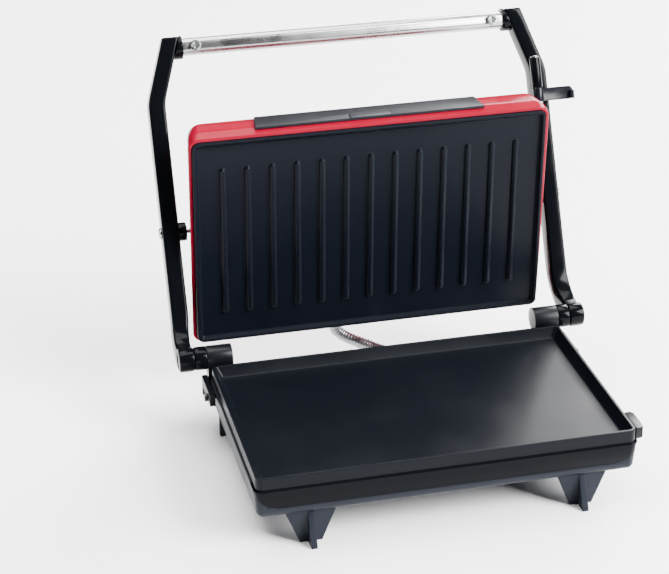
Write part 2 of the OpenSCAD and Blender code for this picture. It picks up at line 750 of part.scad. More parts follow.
module latch_pin() color("#a9adb2") on_arms() {
    y = hinge[0] - latch_at;
    at = [latch_x, hinge[1] + latch_h];
    rod_y(y - tab_w - slack - latch_l - 1.5, y + 0.1, screw_d - 2 * fit, at);
    rod_y(y + 0.05, y + 1.2, 5, at);
}

// Spring ring on the pin's far end, which keeps the tab pressed to the barrel.
module latch_spring() color("#caccce") on_arms() {
    y = hinge[0] - latch_at - tab_w - slack - latch_l;
    at = [latch_x, hinge[1] + latch_h];
    difference() {
        rod_y(y - 1.2, y - 0.05, 5.4, at);
        rod_y(y - 2, y + 1, screw_d, at);
    }
}

// ---- lid, drawn closed ----

// Outline solid of the lid's cover, shrunk by g and lowered to clear its roof by g.
module cover_body(g) {
    w = plate_w / 2 + lid_seam + lid_wall - g;
    d = plate_d / 2 + lid_seam + lid_wall - g;
    // each layer: height, side inset, front bulge, back inset, corner radius
    layers = [[lid_edge, 0, 0, 0, 7], [5, 0.4, 1.9, 0.3, 7.4], [20, 2.7, 1.9, 2, 8.2],
        [24.5, 4.5, -0.3, 3.8, 8.6], [27, 7.8, -4, 7, 9], [lid_h, 13.5, -10.5, 12.5, 9]];
    hull() for (p = layers) translate([0, 0,
        lid_rim_z + (p[0] == lid_edge ? p[0] - (g > 0 ? 3 : 0) : p[0] * (1 - g / lid_h))])
        linear_extrude(eps) translate([0, (-p[2] - p[3]) / 2])
            round_rect(2 * (w - p[1]), 2 * d + p[2] - p[3], p[4] - g / 2, $fn = 64);
}

module lid_cover() color("#c8102e") on_lid() {
    difference() {
        union() {
            difference() {
                cover_body(0);
                cover_body(lid_wall);
                translate([0, 0, lid_rim_z]) linear_extrude(plate_wall_h + lid_seam)
                    round_rect(plate_w + 2 * lid_seam, plate_d + 2 * lid_seam, plate_r + lid_seam);
            }
            intersection() {
                cover_body(0.5);
                at_screws() translate([0, 0, lid_rim_z + upper_shield_u + shield_t])
                    cylinder(d = post_d, h = lid_h);
            }
        }
        at_screws() {
            translate([0, 0, lid_rim_z + upper_shield_u + 4]) cylinder(d = head_d + 1, h = lid_h);
            translate([0, 0, lid_rim_z + upper_shield_u - 1]) cylinder(d = screw_d + 2 * slack, h = 9);
        }
        translate([-plate_w, 0, lid_rim_z]) rotate([90, 0, 90]) linear_extrude(2 * plate_w)
            polygon([[plate_d / 2 - 12, 0], [plate_d / 2 - 4, lid_back_edge], [plate_d, lid_back_edge],
                [plate_d, 0]]);
        both_sides() rod_x(plate_w / 2 - 8, arm_in, pivot_pin_d + 2.4, pivot);
        rod_y(plate_d / 2 - 8, plate_d / 2 + 4, conduit_d, [-conduit_lid_x, lid_rim_z + conduit_lid_up]);
        for (x = [-1, 1]) translate([x * lamp_span / 2, -lamp_front, lid_rim_z + 20])
            cylinder(d = lamp_d + 2 * seat, h = 12);
    }
}

module upper_plate() color("#141922") on_lid() {
    translate([0, 0, lid_rim_z]) {
        rotate([180, 0, 0]) plate(upper_tray, upper_t);
        for (i = [0:rib_n - 1]) translate([(i - (rib_n - 1) / 2) * rib_pitch, 0, upper_tray]) {
            rod_y(-rib_l / 2 + rib_w / 2, rib_l / 2 - rib_w / 2, rib_w, [0, 0]);
            for (y = [-1, 1]) translate([0, y * (rib_l - rib_w) / 2, 0]) sphere(d = rib_w, $fn = 24);
        }
    }
}

module upper_heater() color("#7d7f80") on_lid() translate([0, 0, lid_rim_z + upper_back])
    mirror([0, 0, 1]) heater(0);

module upper_heat_shield() color("#b9bcc0") on_lid() heat_shield(lid_rim_z + upper_shield_u);

module upper_thermostat() color("#d8d4c8") on_lid() translate([0, 0, lid_rim_z + upper_back])
    mirror([0, 0, 1]) thermostat(0);

module upper_plate_screws() color("#a9adb2") on_lid() at_screws()
    translate([0, 0, lid_rim_z + upper_shield_u + 6]) rotate([180, 0, 0]) screw(9.5);

// Steel angle on the heat shield that holds one pivot pin.
module pivot_bracket() color("#9a9ea3") {
    low = lid_rim_z + upper_shield_u + shield_t;
    difference() {
        union() {
            translate([pivot_bracket_x, -9, low]) cube([1.6, 18, pivot[1] + 2.8 - low]);
            translate([pivot_bracket_x - 14, -9, low]) cube([15.6, 18, 1.6]);
        }
        rod_x(pivot_bracket_x - 1, pivot_bracket_x + 3, pivot_pin_d, pivot);
        for (y = [-5, 5]) translate([pivot_bracket_x - 10, y, low - 1]) cylinder(d = screw_d, h = 4);
    }
}

module pivot_bracket_right() on_lid() pivot_bracket();
module pivot_bracket_left() on_lid() mirror([1, 0, 0]) pivot_bracket();

module bracket_rivets() color("#b4b8bd") on_lid() both_sides() for (y = [-5, 5])
    translate([pivot_bracket_x - 10, y, lid_rim_z + upper_shield_u + shield_t + seat / 2]) {
        cylinder(d = screw_d - 2 * fit, h = 2);
        translate([0, 0, 1.6]) cylinder(d = 5, h = 1);
    }

// Soft grip strip on the lid's front face, with slanted ends.
module lid_grip() color("#1d2024") on_lid() {
    face = plate_d / 2 + lid_seam + lid_wall + 1.9;
    difference() {
        translate([0, -face - grip_t, lid_rim_z + grip_u]) rotate([-90, 0, 0]) mirror([0, 1, 0])
            linear_extrude(grip_t + 0.2 - seat)
                polygon([[-grip_l / 2, 0], [grip_l / 2, 0], [grip_l / 2 - 2.5, grip_h],
                    [-grip_l / 2 + 2.5, grip_h]]);
        cover_body(-seat);
        translate([0, -face - grip_t, lid_rim_z + grip_u - 1]) cube([26 + 2 * seat, 1.6, 14],
            center = true);
    }
}

// Small raised tab in the middle of the grip strip.
module lid_grip_tab() color("#2c3036") on_lid() {
    face = plate_d / 2 + lid_seam + lid_wall + 1.9;
    translate([0, -face - grip_t + 0.1, lid_rim_z + grip_u + 2.8]) cube([26, 1.2, 5.6], center = true);
}

module lamp(side) on_lid() translate([side * lamp_span / 2, -lamp_front, lid_rim_z]) {
    translate([0, 0, lid_h - 4]) cylinder(d = lamp_d, h = 4);
    translate([0, 0, lid_h - 8]) cylinder(d = lamp_d + 2, h = 4.5);
}

module power_lamp() color("#e0332a") lamp(-1);
module ready_lamp() color("#3fae49") lamp(1);

module conduit_lid_gland() color("#15171a") on_lid()
    translate([-conduit_lid_x, plate_d / 2 + lid_seam + 1 + conduit_seat, lid_rim_z + conduit_lid_up])
        rotate([90, 0, 0]) {
            cylinder(d = conduit_d + 3.4, h = 3);
            cylinder(d = conduit_d - 2 * seat, h = 9);
        }

lower_housing();
front_band();
foot(-1, -1);  // foot_front_left
foot(1, -1);  // foot_front_right
foot(-1, 1);  // foot_rear_left
foot(1, 1);  // foot_rear_right
lower_plate();
lower_heater();
lower_heat_shield();
lower_thermostat();
thermal_fuse();
terminal_block();
mains_gland();
lower_plate_screws();
hinge_bracket_left();
hinge_bracket_right();
hinge_pins();
hinge_bushes();
bracket_screws();
latch_catch();
catch_screws();
conduit_base_gland();
conduit();
arm_left();
arm_right();
handle_bar();
handle_collar_left();
handle_collar_right();
handle_screws();
handle_bolts();
latch_spring();
pivot_pins();
pivot_clips();
latch_tab();
latch_pin();
lid_cover();
upper_plate();
upper_heater();
upper_heat_shield();
upper_thermostat();
upper_plate_screws();
pivot_bracket_left();
pivot_bracket_right();
lid_grip();
lid_grip_tab();
power_lamp();
ready_lamp();
conduit_lid_gland();
bracket_rivets();
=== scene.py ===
"""Looks of an open panini press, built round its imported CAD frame.

The press is an assembly: a grey base with a flat lower plate, a red lid with a ribbed
upper plate, two gloss arms with a brushed handle bar, a side latch and a wound conduit.
Each sub-assembly is a class that holds its sizes, builds its meshes and dresses them.
Lengths in the classes are in metres, in the frame's own axes.
"""

import json
import logging
import math
from collections.abc import Callable, Iterable, Sequence
from dataclasses import dataclass, field
from enum import Enum
from typing import ClassVar

import bmesh
import bpy
from mathutils import Matrix, Vector


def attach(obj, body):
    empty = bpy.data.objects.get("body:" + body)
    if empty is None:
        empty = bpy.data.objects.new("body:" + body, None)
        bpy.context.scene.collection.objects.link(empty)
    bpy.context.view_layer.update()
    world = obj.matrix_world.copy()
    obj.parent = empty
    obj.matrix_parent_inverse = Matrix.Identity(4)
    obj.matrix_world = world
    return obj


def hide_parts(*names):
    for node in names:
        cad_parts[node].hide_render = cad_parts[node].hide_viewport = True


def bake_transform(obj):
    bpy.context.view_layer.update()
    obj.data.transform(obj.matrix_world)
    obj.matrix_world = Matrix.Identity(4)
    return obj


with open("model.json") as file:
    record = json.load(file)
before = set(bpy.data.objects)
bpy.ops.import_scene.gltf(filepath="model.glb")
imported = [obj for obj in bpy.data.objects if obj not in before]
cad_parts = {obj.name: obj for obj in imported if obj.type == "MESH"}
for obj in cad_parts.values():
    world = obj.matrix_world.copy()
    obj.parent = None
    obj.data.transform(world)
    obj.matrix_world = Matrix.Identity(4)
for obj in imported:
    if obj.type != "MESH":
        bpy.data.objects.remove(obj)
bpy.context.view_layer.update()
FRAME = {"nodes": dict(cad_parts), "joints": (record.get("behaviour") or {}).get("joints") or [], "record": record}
LOG = logging.getLogger("panini_press")
MM = 0.001


class Body(Enum):
    """The rigid bodies that pieces ride on."""

    BASE = "base"
    ARMS = "arms"
    LID = "lid"
    LATCH = "latch"


class Side(Enum):
    """Left or right of the press, as the sign of X."""

    LEFT = -1
    RIGHT = 1


# ---- places taken from the frame ----


@dataclass(frozen=True)
class Linkage:
    """Where the joints are, and how the closed press turns to its open rest pose."""

    hinge: Vector
    pivot: Vector
    arm_open: float
    lid_back: float

    @classmethod
    def from_record(cls) -> "Linkage":
        """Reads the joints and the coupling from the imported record.

        Returns:
            The linkage of this press.
        """
        joints = {joint["name"]: joint for joint in FRAME["joints"]}
        ratio = FRAME["record"]["behaviour"]["couplings"][0]["ratio"]
        opened = math.radians(joints["arm_hinge"]["range_deg"][1])
        return cls(
            hinge=Vector(joints["arm_hinge"]["pos_m"]),
            pivot=Vector(joints["lid_swing"]["pos_m"]),
            arm_open=opened,
            lid_back=opened * (1 + ratio),
        )

    def arms(self) -> Matrix:
        """The move that takes a closed arm to its open rest pose."""
        turn = Matrix.Rotation(-self.arm_open, 4, "X")
        return Matrix.Translation(self.hinge) @ turn @ Matrix.Translation(-self.hinge)

    def pivot_closed(self) -> Vector:
        """The pivots' place with the press closed."""
        return self.arms().inverted() @ self.pivot

    def lid(self) -> Matrix:
        """The move that takes the closed lid to its open rest pose."""
        turn = Matrix.Rotation(-self.lid_back, 4, "X")
        return Matrix.Translation(self.pivot) @ turn @ Matrix.Translation(-self.pivot_closed())


LINKAGE = Linkage.from_record()


@dataclass(frozen=True)
class Box:
    """An axis-aligned box."""

    low: Vector
    high: Vector

    @classmethod
    def of_node(cls, node: str, move: Matrix | None = None) -> "Box":
        """The box of a CAD node, measured before a move was applied to it.

        Args:
            node: The node's name.
            move: The move from the closed pose to rest, or None for a base node.

        Returns:
            The node's box in its own closed pose.
        """
        back = (move or Matrix.Identity(4)).inverted()
        points = [back @ vertex.co for vertex in FRAME["nodes"][node].data.vertices]
        low = Vector([min(p[i] for p in points) for i in range(3)])
        high = Vector([max(p[i] for p in points) for i in range(3)])
        return cls(low, high)

    @property
    def size(self) -> Vector:
        """Width, depth and height."""
        return self.high - self.low

    @property
    def centre(self) -> Vector:
        """The middle of the box."""
        return (self.high + self.low) / 2


# ---- mesh building ----

Ring = list[Vector]


def round_ring(width: float, depth: float, radius: float, z: float,
               shift: float = 0.0, per_corner: int = 10) -> Ring:
    """Points round a rectangle with round corners, counter-clockwise from above.

    Args:
        width: Size along X.
        depth: Size along Y.
        radius: Corner radius.
        z: Height of the ring.
        shift: How far the ring's middle lies along Y.
        per_corner: Steps in each corner's arc.

    Returns:
        The ring's points.
    """
    radius = max(0.0002, min(radius, width / 2, depth / 2))
    points = []
    for corner in range(4):
        cx = (width / 2 - radius) * (1 if corner in (0, 3) else -1)
        cy = (depth / 2 - radius) * (1 if corner in (0, 1) else -1)
        for step in range(per_corner + 1):
            angle = math.pi / 2 * (corner + step / per_corner)
            points.append(Vector((cx + radius * math.cos(angle), cy + shift + radius * math.sin(angle), z)))
    return points


def arc(centre: tuple[float, float], radius: float, start: float, end: float,
        steps: int = 6) -> list[tuple[float, float]]:
    """Points of a plane arc.

    Args:
        centre: The arc's centre.
        radius: Its radius.
        start: First angle, in degrees.
        end: Last angle, in degrees.
        steps: Number of chords.

    Returns:
        The points from start to end.
    """
    angles = [math.radians(start + (end - start) * i / steps) for i in range(steps + 1)]
    return [(centre[0] + radius * math.cos(a), centre[1] + radius * math.sin(a)) for a in angles]


def make_object(name: str, mesh_data: bmesh.types.BMesh, sharp: float = 35.0) -> bpy.types.Object:
    """Turns a bmesh into a linked object with smooth shading that keeps its sharp edges.

    Args:
        name: The piece's name.
        mesh_data: The finished bmesh, which is freed.
        sharp: Edges steeper than this many degrees stay sharp.

    Returns:
        The new object.
    """
    bmesh.ops.recalc_face_normals(mesh_data, faces=mesh_data.faces)
    mesh = bpy.data.meshes.new(name)
    mesh_data.to_mesh(mesh)
    mesh_data.free()
    mesh.shade_smooth()
    mesh.set_sharp_from_angle(angle=math.radians(sharp))
    piece = bpy.data.objects.new(name, mesh)
    bpy.context.scene.collection.objects.link(piece)
    return piece


def add_loft(into: bmesh.types.BMesh, rings: Sequence[Ring], caps: tuple[bool, bool] = (True, True),
             closed: bool = False) -> None:
    """Joins rings of equal length with quads.

    Args:
        into: The bmesh to add to.
        rings: The rings in order.
        caps: Whether the first and the last ring get a face.
        closed: Whether the last ring joins the first.
    """
    rows = [[into.verts.new(point) for point in ring] for ring in rings]
    count = len(rows[0])
    pairs = list(zip(rows, rows[1:])) + ([(rows[-1], rows[0])] if closed else [])
    for lower, upper in pairs:
        for i in range(count):
            j = (i + 1) % count
            into.faces.new((lower[i], lower[j], upper[j], upper[i]))
    if caps[0] and not closed:
        into.faces.new(list(reversed(rows[0])))
    if caps[1] and not closed:
        into.faces.new(rows[-1])


def loft(name: str, rings: Sequence[Ring], sharp: float = 35.0, closed: bool = False) -> bpy.types.Object:
    """One closed solid through rings.

    Args:
        name: The piece's name.
        rings: The rings in order.
        sharp: Edges steeper than this many degrees stay sharp.
        closed: Whether the last ring joins the first.

    Returns:
        The new object.
    """
    made = bmesh.new()
    add_loft(made, rings, closed=closed)
    return make_object(name, made, sharp)


def place(piece: bpy.types.Object, move: Matrix) -> bpy.types.Object:
    """Applies a move to a piece's mesh, so that its object stays at the origin."""
    piece.data.transform(move)
    return piece


def ease_edges(piece: bpy.types.Object, width: float, segments: int = 3, limit: float = 32.0) -> None:
    """Adds a soft bevel to the sharp edges of a piece.

    Args:
        piece: The object.
        width: The bevel's width.
        segments: Steps across the bevel.
        limit: Only edges steeper than this many degrees are bevelled.
    """
    bevel = piece.modifiers.new("eased_edges", "BEVEL")
    bevel.width = width
    bevel.segments = segments
    bevel.limit_method = "ANGLE"
    bevel.angle_limit = math.radians(limit)
    bevel.harden_normals = True
    bevel.use_clamp_overlap = True


def soften_node(node: str, width: float, segments: int = 3) -> bpy.types.Object:
    """Cleans a CAD node's triangles with modifiers and rounds its sharp edges.

    Args:
        node: The CAD node's name.
        width: The rounding's width.
        segments: Steps across the rounding.

    Returns:
        The node's object.
    """
    piece = FRAME["nodes"][node]
    weld = piece.modifiers.new("weld", "WELD")
    weld.merge_threshold = 1e-5
    flat = piece.modifiers.new("flat_faces", "DECIMATE")
    flat.decimate_type = "DISSOLVE"
    flat.angle_limit = math.radians(0.6)
    ease_edges(piece, width, segments)
    piece.data.shade_smooth()
    return piece


def tube_frames(path: Sequence[Vector]) -> list[tuple[Vector, Vector, Vector]]:
    """Untwisted frames along a path.

    Args:
        path: The path's points.

    Returns:
        For each point its tangent and two normals.
    """
    frames = []
    normal = None
    for i, _ in enumerate(path):
        tangent = (path[min(i + 1, len(path) - 1)] - path[max(i - 1, 0)]).normalized()
        if normal is None:
            guess = Vector((1, 0, 0)) if abs(tangent.x) < 0.9 else Vector((0, 1, 0))
            normal = (guess - tangent * guess.dot(tangent)).normalized()
        else:
            normal = (normal - tangent * normal.dot(tangent)).normalized()
        frames.append((tangent, normal, tangent.cross(normal)))
    return frames


def smooth_path(points: Sequence[Vector], step: float) -> list[Vector]:
    """A Catmull-Rom curve through points, resampled at an even step.

    Args:
        points: The curve's own points.
        step: The distance between the samples.

    Returns:
        The samples, with both ends kept.
    """
    ends = [points[0] * 2 - points[1], *points, points[-1] * 2 - points[-2]]
    fine = []
    for a, b, c, d in zip(ends, ends[1:], ends[2:], ends[3:]):
        for k in range(20):
            t = k / 20
            fine.append(0.5 * (2 * b + (c - a) * t + (2 * a - 5 * b + 4 * c - d) * t * t
                               + (3 * b - a - 3 * c + d) * t ** 3))
    fine.append(points[-1].copy())
    lengths = [0.0]
    for a, b in zip(fine, fine[1:]):
        lengths.append(lengths[-1] + (b - a).length)
    count = max(2, round(lengths[-1] / step))
    samples, at = [], 0
    for i in range(count + 1):
        goal = lengths[-1] * i / count
        while at < len(lengths) - 2 and lengths[at + 1] < goal:
            at += 1
        share = (goal - lengths[at]) / max(1e-9, lengths[at + 1] - lengths[at])
        samples.append(fine[at].lerp(fine[at + 1], min(1.0, share)))
    return samples


# ---- finishes ----


class Effect(Enum):
    """Surface effects that several finishes share, each one shader node group."""

    GRAIN = "moulded_grain"
    SMUDGES = "handling_smudges"
    TONE = "tone_drift"
    BRUSHED = "brushed_lines"
    DUST = "settled_dust"


class EffectLibrary:
    """Builds each shared effect once and hands out its node group."""

    def __init__(self) -> None:
        """Starts with no group built."""
        self._built: dict[Effect, bpy.types.ShaderNodeTree] = {}

    def get(self, effect: Effect) -> bpy.types.ShaderNodeTree:
        """The node group of an effect.

        Args:
            effect: Which effect.

        Returns:
            Its node group, built at the first call.
        """
        if effect not in self._built:
            maker: Callable[[], bpy.types.ShaderNodeTree] = {
                Effect.GRAIN: self._grain,
                Effect.SMUDGES: self._smudges,
                Effect.TONE: self._tone,
                Effect.BRUSHED: self._brushed,
                Effect.DUST: self._dust,
            }[effect]
            self._built[effect] = maker()
        return self._built[effect]

    @staticmethod
    def _start(effect: Effect, numbers: dict[str, float], out: str, kind: str = "NodeSocketFloat",
               colour_in: bool = False) -> tuple[bpy.types.ShaderNodeTree, bpy.types.Node, bpy.types.Node]:
        """Makes an empty group with a vector input, number inputs and one output.

        Args:
            effect: Which effect the group is for.
            numbers: Names and default values of its number inputs.
            out: The output's name.
            kind: The output's socket type.
            colour_in: Whether there is a colour input named Colour.

        Returns:
            The group, its input node and its output node.
        """
        group = bpy.data.node_groups.new(effect.value, "ShaderNodeTree")
        sockets = group.interface
        sockets.new_socket("Place", in_out="INPUT", socket_type="NodeSocketVector")
        if colour_in:
            sockets.new_socket("Colour", in_out="INPUT", socket_type="NodeSocketColor")
        for name, value in numbers.items():
            made = sockets.new_socket(name, in_out="INPUT", socket_type="NodeSocketFloat")
            made.default_value = value
        sockets.new_socket(out, in_out="OUTPUT", socket_type=kind)
        return group, group.nodes.new("NodeGroupInput"), group.nodes.new("NodeGroupOutput")

    @staticmethod
    def _noise(group: bpy.types.ShaderNodeTree, place: bpy.types.NodeSocket,
               scale: float | bpy.types.NodeSocket,
               detail: float, roughness: float = 0.5) -> bpy.types.Node:
        """Adds a noise texture to a group.

        Args:
            group: The group.
            place: The socket that gives the place.
            scale: The noise's scale, as a number or a socket.
            detail: Octaves of detail.
            roughness: How strong the fine octaves are.

        Returns:
            The noise node.
        """
        noise = group.nodes.new("ShaderNodeTexNoise")
        noise.inputs["Detail"].default_value = detail
        noise.inputs["Roughness"].default_value = roughness
        if isinstance(scale, (int, float)):
            noise.inputs["Scale"].default_value = scale
        else:
            group.links.new(scale, noise.inputs["Scale"])
        group.links.new(place, noise.inputs["Vector"])
        return noise

    @staticmethod
    def _math(group: bpy.types.ShaderNodeTree, operation: str, a: bpy.types.NodeSocket | float,
              b: bpy.types.NodeSocket | float) -> bpy.types.NodeSocket:
        """Adds a math node and returns its output.

        Args:
            group: The group.
            operation: The node's operation.
            a: First operand.
            b: Second operand.

        Returns:
            The result's socket.
        """
        node = group.nodes.new("ShaderNodeMath")
        node.operation = operation
        for slot, value in zip(node.inputs, (a, b)):
            if isinstance(value, (int, float)):
                slot.default_value = value
            else:
                group.links.new(value, slot)
        return node.outputs[0]

    def _grain(self) -> bpy.types.ShaderNodeTree:
        """Moulded grain: rounded pebbles with a finer tooth, as a bump height."""
        group, given, out = self._start(Effect.GRAIN, {"Scale": 1200.0, "Tooth": 0.4}, "Height")
        cells = group.nodes.new("ShaderNodeTexVoronoi")
        cells.feature = "SMOOTH_F1"
        group.links.new(given.outputs["Place"], cells.inputs["Vector"])
        group.links.new(given.outputs["Scale"], cells.inputs["Scale"])
        fine = self._noise(group, given.outputs["Place"], given.outputs["Scale"], 3.0)
        tooth = self._math(group, "MULTIPLY", fine.outputs["Fac"], given.outputs["Tooth"])
        group.links.new(self._math(group, "ADD", cells.outputs["Distance"], tooth), out.inputs["Height"])
        return group

    def _smudges(self) -> bpy.types.ShaderNodeTree:
        """Soft hand-sized smudges that change the roughness a little."""
        group, given, out = self._start(
            Effect.SMUDGES, {"Scale": 28.0, "Smooth": 0.2, "Rough": 0.3}, "Roughness")
        broad = self._noise(group, given.outputs["Place"], given.outputs["Scale"], 4.0, 0.62)
        spread = group.nodes.new("ShaderNodeMapRange")
        spread.interpolation_type = "SMOOTHSTEP"
        spread.inputs["From Min"].default_value = 0.38
        spread.inputs["From Max"].default_value = 0.66
        group.links.new(broad.outputs["Fac"], spread.inputs["Value"])
        group.links.new(given.outputs["Smooth"], spread.inputs["To Min"])
        group.links.new(given.outputs["Rough"], spread.inputs["To Max"])
        group.links.new(spread.outputs["Result"], out.inputs["Roughness"])
        return group

    def _tone(self) -> bpy.types.ShaderNodeTree:
        """Slow drift of a colour's brightness, as in any moulded or coated piece."""
        group, given, out = self._start(
            Effect.TONE, {"Scale": 14.0, "Amount": 0.08}, "Colour", "NodeSocketColor", colour_in=True)
        broad = self._noise(group, given.outputs["Place"], given.outputs["Scale"], 5.0)
        centred = self._math(group, "SUBTRACT", broad.outputs["Fac"], 0.5)
        swing = self._math(group, "MULTIPLY", centred, given.outputs["Amount"])
        factor = self._math(group, "ADD", self._math(group, "MULTIPLY", swing, 2.0), 1.0)
        scale = group.nodes.new("ShaderNodeVectorMath")
        scale.operation = "SCALE"
        group.links.new(given.outputs["Colour"], scale.inputs["Vector"])
        group.links.new(factor, scale.inputs["Scale"])
        group.links.new(scale.outputs["Vector"], out.inputs["Colour"])
        return group

    def _brushed(self) -> bpy.types.ShaderNodeTree:
        """Fine scratches that run along X, as a height from 0 to 1."""
        group, given, out = self._start(Effect.BRUSHED, {"Scale": 900.0, "Stretch": 0.012}, "Height")
        squeeze = group.nodes.new("ShaderNodeCombineXYZ")
        group.links.new(given.outputs["Stretch"], squeeze.inputs["X"])
        squeeze.inputs["Y"].default_value = 1.0
        squeeze.inputs["Z"].default_value = 1.0
        lay = group.nodes.new("ShaderNodeVectorMath")
        lay.operation = "MULTIPLY"
        group.links.new(given.outputs["Place"], lay.inputs[0])
        group.links.new(squeeze.outputs["Vector"], lay.inputs[1])
        lines = self._noise(group, lay.outputs["Vector"], given.outputs["Scale"], 6.0, 0.7)
        group.links.new(lines.outputs["Fac"], out.inputs["Height"])
        return group

    def _dust(self) -> bpy.types.ShaderNodeTree:
        """Pale dust in specks on faces that look up, mixed over a colour."""
        group, given, out = self._start(
            Effect.DUST, {"Scale": 900.0, "Amount": 0.1}, "Colour", "NodeSocketColor", colour_in=True)
        specks = self._noise(group, given.outputs["Place"], given.outputs["Scale"], 2.0, 0.8)
        facing = group.nodes.new("ShaderNodeNewGeometry")
        split = group.nodes.new("ShaderNodeSeparateXYZ")
        group.links.new(facing.outputs["Normal"], split.inputs["Vector"])
        upward = self._math(group, "MAXIMUM", split.outputs["Z"], 0.0)
        strong = self._math(group, "GREATER_THAN", specks.outputs["Fac"], 0.63)
        settled = self._math(group, "MULTIPLY", strong, upward)
        share = self._math(group, "MULTIPLY", settled, given.outputs["Amount"])
        mix = group.nodes.new("ShaderNodeMix")
        mix.data_type = "RGBA"
        group.links.new(share, mix.inputs["Factor"])
        group.links.new(given.outputs["Colour"], mix.inputs[6])
        mix.inputs[7].default_value = (0.55, 0.55, 0.56, 1.0)
        group.links.new(mix.outputs[2], out.inputs["Colour"])
        return group


EFFECTS = EffectLibrary()


@dataclass(frozen=True)
class Finish:
    """One surface finish and the numbers that make its material."""

    name: str
    colour: tuple[float, float, float]
    smooth: float
    rough: float
    metallic: float = 0.0
    coat: float = 0.0
    coat_rough: float = 0.03
    ior: float = 1.5
    specular: float = 0.5
    grain_scale: float = 0.0
    grain_height: float = 0.0
    brush_height: float = 0.0
    brush_stretch: float = 0.012
    tone: float = 0.08
    tone_scale: float = 14.0
    smudge_scale: float = 28.0
    dust: float = 0.0
    clear: float = 0.0
    made: ClassVar[dict[str, bpy.types.Material]] = {}

    def material(self) -> bpy.types.Material:
        """The material of this finish, made at the first call.

        Returns:
            The material.
        """
        if self.name not in self.made:
            self.made[self.name] = self._build()
        return self.made[self.name]

    def _group(self, tree: bpy.types.ShaderNodeTree, effect: Effect, **numbers: float) -> bpy.types.Node:
        """Places a shared effect in this material.

        Args:
            tree: The material's tree.
            effect: Which effect.
            **numbers: Values of its number inputs.

        Returns:
            The group node.
        """
        node = tree.nodes.new("ShaderNodeGroup")
        node.node_tree = EFFECTS.get(effect)
        for name, value in numbers.items():
            node.inputs[name].default_value = value
        tree.links.new(self._place(tree).outputs["Object"], node.inputs["Place"])
        return node

    @staticmethod
    def _place(tree: bpy.types.ShaderNodeTree) -> bpy.types.Node:
        """The material's one texture coordinate node.

        Args:
            tree: The material's tree.

        Returns:
            The node, made at the first call.
        """
        node = tree.nodes.get("Place")
        if node is None:
            node = tree.nodes.new("ShaderNodeTexCoord")
            node.name = "Place"
        return node

    def _build(self) -> bpy.types.Material:
        """Builds the material's nodes.

        Returns:
            The new material.
        """
        material = bpy.data.materials.new(f"{self.name}_finish")
        material.use_nodes = True
        material.diffuse_color = (*self.colour, 1.0)
        tree = material.node_tree
        shader = tree.nodes["Principled BSDF"]
        shader.inputs["Metallic"].default_value = self.metallic
        shader.inputs["IOR"].default_value = self.ior
        shader.inputs["Specular IOR Level"].default_value = self.specular
        shader.inputs["Coat Weight"].default_value = self.coat
        shader.inputs["Coat Roughness"].default_value = self.coat_rough
        shader.inputs["Transmission Weight"].default_value = self.clear
        tone = self._group(tree, Effect.TONE, Scale=self.tone_scale, Amount=self.tone)
        tone.inputs["Colour"].default_value = (*self.colour, 1.0)
        colour = tone.outputs["Colour"]
        if self.dust:
            dust = self._group(tree, Effect.DUST, Amount=self.dust)
            tree.links.new(colour, dust.inputs["Colour"])
            colour = dust.outputs["Colour"]
        tree.links.new(colour, shader.inputs["Base Color"])
        smudges = self._group(tree, Effect.SMUDGES, Scale=self.smudge_scale, Smooth=self.smooth,
                              Rough=self.rough)
        tree.links.new(smudges.outputs["Roughness"], shader.inputs["Roughness"])
        self._bump(tree, shader)
        return material

    def _bump(self, tree: bpy.types.ShaderNodeTree, shader: bpy.types.Node) -> None:
        """Links grain or brushing to the shader's normal.

        Args:
            tree: The material's tree.
            shader: Its Principled node.
        """
        if self.brush_height:
            source = self._group(tree, Effect.BRUSHED, Stretch=self.brush_stretch)
            depth = self.brush_height
        elif self.grain_height:
            source = self._group(tree, Effect.GRAIN, Scale=self.grain_scale)
            depth = self.grain_height
        else:
            return
        bump = tree.nodes.new("ShaderNodeBump")
        bump.inputs["Strength"].default_value = 1.0
        bump.inputs["Distance"].default_value = depth
        tree.links.new(source.outputs["Height"], bump.inputs["Height"])
        tree.links.new(bump.outputs["Normal"], shader.inputs["Normal"])


